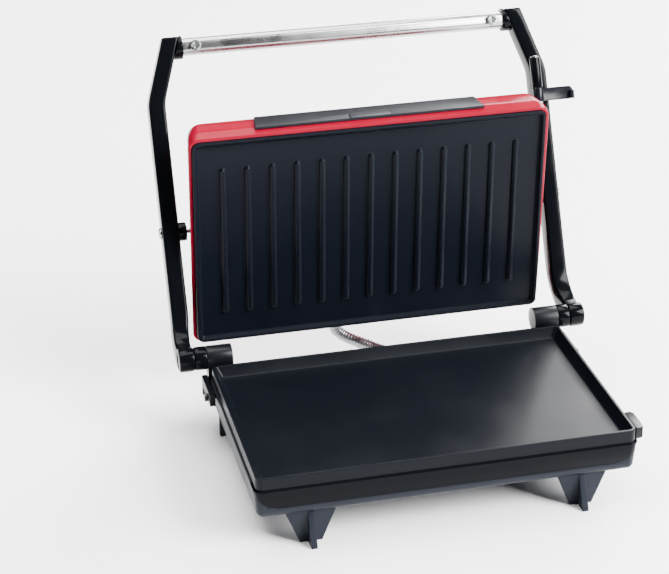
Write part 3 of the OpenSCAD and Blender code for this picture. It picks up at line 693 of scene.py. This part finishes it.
FINISHES: dict[str, Finish] = {
    "housing_grey": Finish("housing_grey", (0.0085, 0.0100, 0.0150), 0.34, 0.44, specular=0.10,
                           grain_scale=1500.0, grain_height=0.00004, dust=0.004),
    "band_gloss": Finish("band_gloss", (0.002, 0.0024, 0.0034), 0.06, 0.12, specular=0.045),
    "nonstick_lower": Finish("nonstick_lower", (0.002, 0.0026, 0.0042), 0.30, 0.38, specular=0.075,
                             grain_scale=2600.0, grain_height=0.000012, tone=0.16, smudge_scale=18.0,
                             dust=0.002),
    "nonstick_upper": Finish("nonstick_upper", (0.0025, 0.0033, 0.006), 0.28, 0.36, specular=0.06,
                             grain_scale=2600.0, grain_height=0.000012, tone=0.16, smudge_scale=18.0),
    "heater_steel": Finish("heater_steel", (0.28, 0.28, 0.27), 0.38, 0.55, metallic=1.0, tone=0.3,
                           tone_scale=60.0),
    "shield_steel": Finish("shield_steel", (0.55, 0.56, 0.58), 0.25, 0.38, metallic=1.0,
                           brush_height=0.00001, brush_stretch=0.05),
    "shield_alu": Finish("shield_alu", (0.62, 0.63, 0.64), 0.28, 0.42, metallic=1.0,
                         brush_height=0.00001, brush_stretch=0.05),
    "ceramic": Finish("ceramic", (0.70, 0.67, 0.58), 0.22, 0.35, grain_scale=900.0, grain_height=0.00002),
    "fuse_brass": Finish("fuse_brass", (0.60, 0.42, 0.18), 0.22, 0.36, metallic=1.0),
    "gland_rubber": Finish("gland_rubber", (0.007, 0.0075, 0.009), 0.45, 0.60, specular=0.25,
                           grain_scale=1800.0, grain_height=0.00003),
    "screw_steel": Finish("screw_steel", (0.20, 0.205, 0.21), 0.24, 0.36, metallic=1.0, tone=0.12,
                          tone_scale=200.0, smudge_scale=220.0),
    "bracket_black": Finish("bracket_black", (0.0035, 0.004, 0.0055), 0.30, 0.40, specular=0.12,
                            grain_scale=1600.0, grain_height=0.00002),
    "screw_black": Finish("screw_black", (0.05, 0.05, 0.055), 0.25, 0.38, metallic=1.0, tone=0.12,
                          tone_scale=200.0, smudge_scale=220.0),
    "pin_steel": Finish("pin_steel", (0.40, 0.41, 0.42), 0.18, 0.30, metallic=1.0,
                        brush_height=0.000006, brush_stretch=1.0),
    "conduit_metal": Finish("conduit_metal", (0.30, 0.305, 0.32), 0.26, 0.40, metallic=1.0, tone=0.12,
                            tone_scale=80.0, smudge_scale=90.0),
    "arm_gloss": Finish("arm_gloss", (0.0018, 0.0022, 0.003), 0.09, 0.17, specular=0.06, tone=0.1),
    "bar_steel": Finish("bar_steel", (0.36, 0.36, 0.365), 0.24, 0.34, metallic=1.0,
                        brush_height=0.000012),
    "latch_black": Finish("latch_black", (0.004, 0.005, 0.007), 0.14, 0.24, specular=0.12),
    "cover_red": Finish("cover_red", (0.19, 0.0001, 0.012), 0.16, 0.24, specular=0.07, tone=0.05),
    "grip_black": Finish("grip_black", (0.0045, 0.005, 0.0075), 0.36, 0.48, specular=0.14,
                         grain_scale=1700.0, grain_height=0.00003),
    "grip_tab": Finish("grip_tab", (0.013, 0.014, 0.018), 0.30, 0.42, specular=0.2, grain_scale=1700.0,
                       grain_height=0.00002),
    "lens_red": Finish("lens_red", (0.60, 0.02, 0.01), 0.05, 0.12, coat=0.5, clear=0.35),
    "lens_green": Finish("lens_green", (0.04, 0.45, 0.08), 0.05, 0.12, coat=0.5, clear=0.35),
}


def dress(piece: bpy.types.Object, slot: str) -> bpy.types.Object:
    """Gives a piece its one finish.

    Args:
        piece: The object.
        slot: The record's material slot, which is also the finish's name.

    Returns:
        The same object.
    """
    piece.data.materials.clear()
    piece.data.materials.append(FINISHES[slot].material())
    return piece


def seat_piece(piece: bpy.types.Object, body: Body, slot: str, *nodes: str) -> bpy.types.Object:
    """Dresses a new piece, puts it on its body and hides the CAD nodes that it stands for.

    Args:
        piece: The object, already in place.
        body: The body it rides on.
        slot: Its material slot.
        *nodes: CAD nodes that it replaces.

    Returns:
        The same object.
    """
    dress(piece, slot)
    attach(piece, body.value)
    if nodes:
        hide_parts(*nodes)
    LOG.info("piece %s rides on %s", piece.name, body.value)
    return piece


# ---- sub-assemblies ----


@dataclass
class CookingPlate:
    """A cast plate with a raised rim, a drafted tray and, on the upper one, ribs."""

    node: str
    body: Body
    slot: str
    tray: float
    floor: float
    corner: float = 4.5 * MM
    least_corner: float = 1.6 * MM
    wall: float = 8 * MM
    rim: float = 2.2 * MM
    slope: float = 0.55
    edge: float = 0.55 * MM
    fillet: float = 1.6 * MM
    ribs: int = 0
    rib_pitch: float = 16 * MM
    rib_length: float = 104 * MM
    rib_end: float = 2.5
    rib_profile: tuple[tuple[float, float], ...] = (
        (2.45, -0.3), (2.45, 0.02), (2.2, 0.12), (2.04, 0.36), (1.96, 0.72), (1.8, 1.12),
        (1.48, 1.5), (1.02, 1.78), (0.5, 1.96), (0.16, 2.0))

    def profile(self) -> list[tuple[float, float]]:
        """The section from the underside round the rim to the tray, as (inset, height over the rim).

        Returns:
            The section's points.
        """
        out = arc((self.edge, -self.edge), self.edge, 180, 90, 4)
        lip = arc((self.rim - self.edge, -self.edge), self.edge, 90, 10, 4)
        inner = self.rim + self.slope * self.tray
        foot = arc((inner + self.fillet * 0.55, -self.tray + self.fillet), self.fillet, 205, 270, 5)
        skirt = self.rim + 2 * MM
        bottom = -self.tray - self.floor
        under = [(skirt + self.wall, bottom), (skirt + 0.3 * MM, bottom),
                 (skirt, -self.wall), (0.4 * MM, -self.wall), (0.0, -self.wall + 0.4 * MM)]
        return under + out + lip + foot + [(inner + 4 * self.fillet, -self.tray)]

    def mesh(self, width: float, depth: float) -> bmesh.types.BMesh:
        """The plate with its tray up and its rim at height 0.

        Args:
            width: Outer size along X.
            depth: Outer size along Y.

        Returns:
            The plate's bmesh.
        """
        made = bmesh.new()
        rings = [round_ring(width - 2 * inset, depth - 2 * inset,
                            max(self.corner - inset, self.least_corner), z)
                 for inset, z in self.profile()]
        add_loft(made, rings)
        for i in range(self.ribs):
            x = (i - (self.ribs - 1) / 2) * self.rib_pitch
            steps = []
            for half, rise in self.rib_profile:
                ring = round_ring(2 * half * MM, self.rib_length - 2 * (self.rib_end - half) * MM, half * MM,
                                  -self.tray + rise * MM, per_corner=6)
                steps.append([point + Vector((x, 0, 0)) for point in ring])
            add_loft(made, steps)
        return made

    def build(self) -> bpy.types.Object:
        """Builds the plate at its rest pose.

        Returns:
            The finished piece.
        """
        move = LINKAGE.lid() if self.body is Body.LID else None
        box = Box.of_node(self.node, move)
        made = self.mesh(box.size.x, self.depth(box))
        if self.body is Body.LID:
            bmesh.ops.scale(made, vec=(1, 1, -1), verts=made.verts)
        piece = make_object(f"{self.node}_cast", made, 40)
        rim = box.low.z if self.body is Body.LID else box.high.z
        place(piece, Matrix.Translation((0, 0, rim)))
        if move:
            place(piece, move)
        return seat_piece(piece, self.body, self.slot, self.node)

    @staticmethod
    def depth(box: Box) -> float:
        """Outer size along Y."""
        return box.size.y


@dataclass
class LidCover:
    """The red cover: a shallow dome with a rolled lip, open towards the plate."""

    wall: float = 2 * MM
    lip: float = 0.9 * MM
    layers: tuple[tuple[float, float, float, float, float], ...] = (
        (5, 0.4, 1.9, 0.3, 7.4), (10, 1.1, 2.05, 0.8, 7.7), (15, 1.85, 2.05, 1.35, 7.9),
        (20, 2.75, 1.85, 2.05, 8.2),
        (22.6, 3.5, 1.0, 2.75, 8.4), (24.6, 4.6, -0.4, 3.9, 8.6), (26.1, 6.2, -2.2, 5.5, 8.8),
        (27.2, 8.6, -4.9, 7.8, 9), (27.9, 11.2, -7.8, 10.2, 9), (28.3, 14.4, -11.4, 13.4, 9))
    back_edge: float = 5.2 * MM
    back_from: float = 12 * MM
    back_run: float = 8 * MM
    seam: float = 0.35 * MM
    mouth_corner: float = 4.9 * MM
    mouth_depth: float = 7.2 * MM
    roof_from: float = 22
    crown_steps: tuple[float, float] = (0.35, 0.7)
    crown_inset: tuple[float, float] = (60, 40)

    def ring(self, half: Vector, layer: Sequence[float], grow: float, lift: float) -> Ring:
        """One level line of the cover.

        Args:
            half: Half width and half depth at the cover's edge.
            layer: Height, side inset, front bulge, back inset and corner radius, in millimetres.
            grow: How far the line lies outside the layer's own, in metres.
            lift: How far it lies above it, in metres.

        Returns:
            The line's points, with the plate's rim at height 0.
        """
        up, side, front, back, radius = (value * MM for value in layer)
        return round_ring(2 * (half.x - side + grow), 2 * (half.y + grow) + front - back,
                          radius + grow * 0.5, up + lift, shift=-(front + back) / 2, per_corner=12)

    def raise_back(self, made: bmesh.types.BMesh, half_depth: float) -> None:
        """Lifts the cover's edge behind the plate, so that the plate shows there.

        Args:
            made: The cover, with the plate's rim at height 0.
            half_depth: Half the plate's depth.
        """
        for vertex in made.verts:
            share = min(1.0, max(0.0, (vertex.co.y - half_depth + self.back_from) / self.back_run))
            lowest = self.back_edge * share * share * (3 - 2 * share)
            if vertex.co.z < 2 * lowest:
                vertex.co.z = lowest + vertex.co.z * 0.5

    def build(self) -> bpy.types.Object:
        """Builds the cover at its rest pose."""
        move = LINKAGE.lid()
        box = Box.of_node("lid_cover", move)
        plate = Box.of_node("upper_plate", move)
        half = Vector((box.size.x / 2, plate.size.y / 2 + (box.size.x - plate.size.x) / 2))
        base = (box.low.z - plate.low.z) / MM
        rolled = [((base + self.lip / MM * (1 - math.sin(a)), 0.05, 0.2 * math.sin(a), 0.0, 7.0),
                   -self.lip * (1 - math.cos(a))) for a in (math.pi / 2 * k / 4 for k in range(4, -1, -1))]
        outer = [self.ring(half, layer, grow, 0.0) for layer, grow in reversed(rolled)][::-1]
        outer += [self.ring(half, layer, 0.0, 0.0) for layer in self.layers]
        crown = self.layers[-1]
        across, along = self.crown_inset
        for k in self.crown_steps:
            top = (crown[0] + 0.02, crown[1] + k * across, crown[2] - k * along, crown[3] + k * along, 8)
            outer.append(self.ring(half, top, 0.0, 0.0))
        mouth = (plate.size.x / 2 + self.seam, plate.size.y / 2 + self.seam)
        inner = [round_ring(2 * mouth[0], 2 * mouth[1], self.mouth_corner, base * MM + rise, per_corner=12)
                 for rise in (0.0, self.mouth_depth)]
        inner += [self.ring(half, layer, -self.wall, -self.wall if layer[0] > self.roof_from else 0.0)
                  for layer in self.layers[1:]]
        made = bmesh.new()
        add_loft(made, list(reversed(inner)) + outer)
        self.raise_back(made, plate.size.y / 2)
        piece = make_object("lid_cover_shell", made, 50)
        place(piece, Matrix.Translation((0, 0, plate.low.z)))
        place(piece, move)
        return seat_piece(piece, Body.LID, "cover_red", "lid_cover")


@dataclass
class LiftingArm:
    """One gloss arm: it rises from its knuckle, runs forward and bends in to the handle."""

    side: Side
    thick: float = 13.5 * MM
    knuckle_width: float = 10 * MM
    width: float = 11 * MM
    barrel: float = 15 * MM
    sweep: tuple[float, float] = (31.75 * MM, 32.0 * MM)
    reach: float = 205 * MM
    bend_at: float = 159.25 * MM
    bend_radius: float = 30 * MM
    bend: float = math.radians(18)
    edge: float = 1.9 * MM
    boss: float = 12 * MM
    boss_face: float = 12 * MM
    boss_length: float = 5 * MM
    latch_axis: tuple[float, float] = (123.5 * MM, 10.25 * MM)
    latch_span: tuple[float, float] = (150.3 * MM, 170.3 * MM)
    latch_barrel: float = 7 * MM
    web: tuple[float, float, float] = (-1.5 * MM, 3.5 * MM, 6.6 * MM)
    drum_edge: float = 0.5 * MM

    @property
    def node(self) -> str:
        """The CAD node that the arm replaces."""
        return "arm_right" if self.side is Side.RIGHT else "arm_left"

    def stations(self) -> list[tuple[float, float, float]]:
        """The arm's middle line from the knuckle to the tip.

        Returns:
            For each station its distance forward, its height above the hinge and half its thickness.
        """
        rise = LINKAGE.pivot_closed().z - LINKAGE.hinge.z
        centre, run = self.sweep
        curve = [math.radians(5 * k) for k in range(19)]
        line = [(centre - run * math.cos(a), rise * math.sin(a),
                 self.barrel / 2 + (self.thick - self.barrel) / 2 * math.sin(a)) for a in curve]
        plain = [50, 80, 110, 140, 150, 155] + [157 + 2 * k for k in range(10)] + [182, 190, 198]
        line += [(s * MM, rise, self.thick / 2) for s in plain]
        tip = [(self.reach - self.edge * (1 - math.sin(a)), rise,
                self.thick / 2 - self.edge * (1 - math.cos(a)) * 0.5)
               for a in (0.0, 0.5, 1.0, math.pi / 2)]
        return line + tip

    def sideways(self, forward: float, outer: float) -> tuple[float, float]:
        """Middle and half width at a distance forward of the hinge.

        Args:
            forward: The distance.
            outer: X of the knuckle's outer face.

        Returns:
            X of the middle and half the width.
        """
        share = min(1.0, max(0.0, (forward - 4 * MM) / (26 * MM)))
        share = share * share * (3 - 2 * share)
        half = (self.knuckle_width + (self.width - self.knuckle_width) * share) / 2
        middle = outer - self.knuckle_width / 2 - share * 1.5 * MM
        past = max(0.0, forward - self.bend_at)
        turn = self.bend_radius * math.sin(self.bend)
        if past <= turn:
            return middle - self.bend_radius + math.sqrt(self.bend_radius ** 2 - past ** 2), half
        shift = self.bend_radius * (1 - math.cos(self.bend)) + (past - turn) * math.tan(self.bend)
        return middle - shift, half

    def rings(self, outer: float) -> list[Ring]:
        """Cross-sections of the arm, closed, on the right-hand side.

        Args:
            outer: X of the knuckle's outer face.

        Returns:
            The rings from knuckle to tip.
        """
        line = self.stations()
        rings = []
        for i, (forward, up, half) in enumerate(line):
            before, after = line[max(i - 1, 0)], line[min(i + 1, len(line) - 1)]
            along = Vector((0, -(after[0] - before[0]), after[1] - before[1])).normalized()
            across = Vector((1, 0, 0)).cross(along)
            middle, wide = self.sideways(forward, outer)
            flat = round_ring(2 * wide, 2 * half, self.edge, 0.0, per_corner=5)
            spot = Vector((middle, LINKAGE.hinge.y - forward, LINKAGE.hinge.z + up))
            rings.append([spot + Vector((point.x, 0, 0)) + across * point.y for point in flat])
        return rings

    @staticmethod
    def drum(centre: Vector, start: float, end: float, radius: float, edge: float, axis: str) -> list[Ring]:
        """Rings of a drum with eased ends along X or Y.

        Args:
            centre: A point on the drum's axis.
            start: Where it starts along that axis.
            end: Where it ends.
            radius: Its radius.
            edge: Easing of its ends.
            axis: Either X or Y.

        Returns:
            The rings.
        """
        eased = [(start + edge * (1 - math.cos(a)), radius - edge * (1 - math.sin(a)))
                 for a in (0.0, 0.5, 1.0, math.pi / 2)]
        eased += [(end - edge * (1 - math.cos(a)), radius - edge * (1 - math.sin(a)))
                  for a in (math.pi / 2, 1.0, 0.5, 0.0)]
        rings = []
        for place_along, r in eased:
            ring = []
            for k in range(40):
                angle = 2 * math.pi * k / 40
                a, b = r * math.cos(angle), r * math.sin(angle)
                point = Vector((place_along, centre.y + a, centre.z + b)) if axis == "X" else \
                    Vector((centre.x + a, place_along, centre.z - b))
                ring.append(point)
            rings.append(ring)
        return rings

    def build(self) -> bpy.types.Object:
        """Builds the arm at its rest pose."""
        move = LINKAGE.arms()
        box = Box.of_node("arm_right", move)
        hinge, pivot = LINKAGE.hinge, LINKAGE.pivot_closed()
        wall = box.high.x - self.boss_face
        made = bmesh.new()
        add_loft(made, self.rings(box.high.x))
        barrel = self.drum(hinge, box.high.x - self.knuckle_width, box.high.x, self.barrel / 2, 1.1 * MM, "X")
        add_loft(made, barrel)
        add_loft(made, self.drum(pivot, wall - self.boss_length, wall + 1 * MM, self.boss / 2,
                                  self.drum_edge, "X"))
        if self.side is Side.RIGHT:
            axis = Vector((self.latch_axis[0], 0, hinge.z + self.latch_axis[1]))
            near, far = (hinge.y - value for value in self.latch_span)
            add_loft(made, self.drum(axis, far, near, self.latch_barrel / 2, self.drum_edge, "Y"))
            left, right, height = self.web
            far, near = far + self.drum_edge, near - self.drum_edge
            outline = ((left, far), (right, far), (right, near), (left, near))
            add_loft(made, [[Vector((axis.x + x, y, z)) for x, y in outline] for z in (axis.z,
            axis.z + height)])
        if self.side is Side.LEFT:
            bmesh.ops.scale(made, vec=(-1, 1, 1), verts=made.verts)
        piece = make_object(f"{self.node}_gloss", made, 45)
        place(piece, move)
        return seat_piece(piece, Body.ARMS, "arm_gloss", self.node)


@dataclass
class Conduit:
    """The wound metal conduit from the base to the lid, in two lengths."""

    diameter: float = 8.6 * MM
    groove: float = 0.28 * MM
    pitch: float = 2.3 * MM
    step: float = 0.46 * MM
    sides: int = 24
    split_at: int = 10
    route: tuple[tuple[float, float, float], ...] = (
        (-20, 133.75, 35.77), (-20, 133.9, 33.4), (-18.9, 133.9, 30.4), (-16.2, 133.3, 27.6),
        (-12.2, 131.4, 25.2), (-7, 127.8, 23.4), (-1.5, 122.4, 22.4), (3, 116.6, 22),
        (6.8, 110, 22.6), (9.4, 103, 24), (11, 95.6, 26),
        (11.8, 88, 28), (12, 81, 29.4), (12, 75, 30), (12, 68.5, 30))

    def winding(self, path: Sequence[Vector], name: str, start: float) -> bpy.types.Object:
        """One length of wound strip.

        Args:
            path: The middle line.
            name: The piece's name.
            start: Distance along the whole conduit at which this length begins.

        Returns:
            The new object.
        """
        rings = []
        walked = start
        for i, (point, (_, a, b)) in enumerate(zip(path, tube_frames(path))):
            walked += (point - path[i - 1]).length if i else 0.0
            ring = []
            for k in range(self.sides):
                angle = 2 * math.pi * k / self.sides
                wave = 0.5 - 0.5 * math.cos(2 * math.pi * walked / self.pitch - angle)
                radius = self.diameter / 2 - self.groove * (1 - wave ** 0.6)
                ring.append(point + radius * (math.cos(angle) * a + math.sin(angle) * b))
            rings.append(ring)
        return loft(name, rings, 60)

    def build(self) -> list[bpy.types.Object]:
        """Builds both lengths, dresses them and hides the CAD conduit."""
        points = [Vector(point) * MM for point in self.route]
        whole = smooth_path(points, self.step)
        meet = points[self.split_at]
        cut = min(range(len(whole)), key=lambda i: (whole[i] - meet).length)
        upper = self.winding(whole[:cut + 2], "conduit_upper", 0.0)
        lower = self.winding(whole[cut - 1:], "conduit_lower", 0.0)
        for piece in (upper, lower):
            dress(piece, "conduit_metal")
        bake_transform(upper)
        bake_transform(lower)
        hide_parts("conduit")
        LOG.info("conduit in two lengths")
        return [upper, lower]


@dataclass
class CarriedParts:
    """CAD nodes that keep their shape: edges are eased and each gets its finish."""

    easing: dict[str, float] = field(default_factory=lambda: {
        "handle_collar_left": 0.6 * MM, "handle_collar_right": 0.6 * MM,
        "handle_bar": 0.25 * MM, "lower_housing": 0.4 * MM, "front_band": 0.35 * MM,
        "latch_tab": 0.5 * MM, "latch_catch": 0.5 * MM,
        "foot_front_left": 0.8 * MM, "foot_front_right": 0.8 * MM, "foot_rear_left": 0.8 * MM,
        "foot_rear_right": 0.8 * MM, "hinge_bracket_left": 0.7 * MM, "hinge_bracket_right": 0.7 * MM,
        "hinge_bushes": 0.7 * MM, "lid_grip": 0.5 * MM, "lid_grip_tab": 0.4 * MM,
        "conduit_base_gland": 0.6 * MM, "mains_gland": 0.6 * MM, "conduit_lid_gland": 0.6 * MM,
        "power_lamp": 0.8 * MM, "ready_lamp": 0.8 * MM})
    small: float = 0.2 * MM

    def build(self, shown_elsewhere: Iterable[str]) -> None:
        """Eases and dresses every node that no piece replaces.

        Args:
            shown_elsewhere: Names of the nodes that other classes handle.
        """
        slots = {part["node"]: part["material_slot"] for part in FRAME["record"]["subparts"]}
        done = set(shown_elsewhere)
        for node, slot in slots.items():
            if node in done:
                continue
            piece = soften_node(node, self.easing.get(node, self.small))
            dress(piece, slot)
            LOG.info("node %s keeps its shape", node)


# ---- studio ----


@dataclass
class Studio:
    """Floor, soft light and the camera."""

    eye: Vector = field(default_factory=lambda: Vector((-0.2988, -1.0536, 0.6543)))
    ahead: Vector = field(default_factory=lambda: Vector((0.20563, 0.87566, -0.43696)))
    right: Vector = field(default_factory=lambda: Vector((0.97248, -0.23283, -0.00895)))
    lens: float = 110.3
    sensor: float = 36.0
    floor_size: float = 9.0
    floor_colour: tuple[float, float, float] = (0.93, 0.93, 0.94)
    fall_off: tuple[float, float, float, float] = (-0.75, 0.1, 0.22, 1.6)

    def build(self) -> None:
        """Builds floor, world, lights and camera."""
        self.floor()
        self.world()
        self.lights()
        self.camera()
        LOG.info("studio ready")

    def floor(self) -> None:
        """A plain pale floor with faint tone in its surface."""
        made = bmesh.new()
        bmesh.ops.create_grid(made, x_segments=8, y_segments=8, size=self.floor_size / 2)
        piece = make_object("studio_floor", made)
        finish = Finish("studio_floor", self.floor_colour, 0.55, 0.62, tone=0.01, tone_scale=2.0)
        piece.data.materials.append(finish.material())

    def world(self) -> None:
        """A dim grey surround, weaker towards the front."""
        world = bpy.data.worlds.new("studio_world")
        world.use_nodes = True
        tree = world.node_tree
        place = tree.nodes.new("ShaderNodeTexCoord")
        split = tree.nodes.new("ShaderNodeSeparateXYZ")
        fall = tree.nodes.new("ShaderNodeMapRange")
        fall.interpolation_type = "SMOOTHSTEP"
        for name, value in zip(("From Min", "From Max", "To Min", "To Max"), self.fall_off):
            fall.inputs[name].default_value = value
        tree.links.new(place.outputs["Generated"], split.inputs["Vector"])
        tree.links.new(split.outputs["Y"], fall.inputs["Value"])
        tree.links.new(fall.outputs["Result"], tree.nodes["Background"].inputs["Strength"])
        bpy.context.scene.world = world

    @staticmethod
    def softbox(name: str, spot: Sequence[float], aim: Sequence[float], size: tuple[float, float],
                watts: float) -> None:
        """A rectangular soft light.

        Args:
            name: The light's name.
            spot: Where it stands.
            aim: The point it faces.
            size: Its width and height.
            watts: Its power.
        """
        light = bpy.data.lights.new(name, "AREA")
        light.shape = "RECTANGLE"
        light.size, light.size_y = size
        light.energy = watts
        lamp = bpy.data.objects.new(name, light)
        lamp.location = Vector(spot)
        lamp.rotation_euler = (Vector(aim) - Vector(spot)).to_track_quat("-Z", "Y").to_euler()
        bpy.context.scene.collection.objects.link(lamp)

    def lights(self) -> None:
        """A large key at the front right, fill from behind and overhead, and a weak left front."""
        middle = (0.0, 0.05, 0.1)
        self.softbox("key", (2.35, -1.75, 2.1), middle, (2.2, 2.2), 700.0)
        self.softbox("overhead", (-0.2, 0.5, 2.6), middle, (2.6, 2.2), 200.0)
        self.softbox("behind_right", (1.9, 2.3, 1.6), middle, (1.8, 1.6), 290.0)
        self.softbox("left", (-2.4, 0.4, 1.2), middle, (1.2, 1.6), 30.0)

    def camera(self) -> None:
        """The camera, given by its place and two of its axes."""
        forward = self.ahead.normalized()
        side = (self.right - forward * self.right.dot(forward)).normalized()
        up = side.cross(forward)
        turn = Matrix((side, up, -forward)).transposed().to_4x4()
        data = bpy.data.cameras.new("camera")
        data.sensor_width = self.sensor
        data.lens = self.lens
        data.clip_end = 50
        eye = bpy.data.objects.new("camera", data)
        eye.matrix_world = Matrix.Translation(self.eye) @ turn
        bpy.context.scene.collection.objects.link(eye)
        bpy.context.scene.camera = eye


def main() -> None:
    """Builds the studio and the press, piece by piece."""
    logging.basicConfig(level=logging.INFO, format="%(message)s")
    Studio().build()
    Conduit().build()
    CookingPlate("lower_plate", Body.BASE, "nonstick_lower", tray=6.4 * MM, floor=3.6 * MM).build()
    CookingPlate("upper_plate", Body.LID, "nonstick_upper", tray=2.6 * MM, floor=2.6 * MM, ribs=13).build()
    LidCover().build()
    for side in Side:
        LiftingArm(side).build()
    CarriedParts().build({"conduit", "lower_plate", "upper_plate", "lid_cover", "arm_left", "arm_right"})


if __name__ == "__main__":
    main()
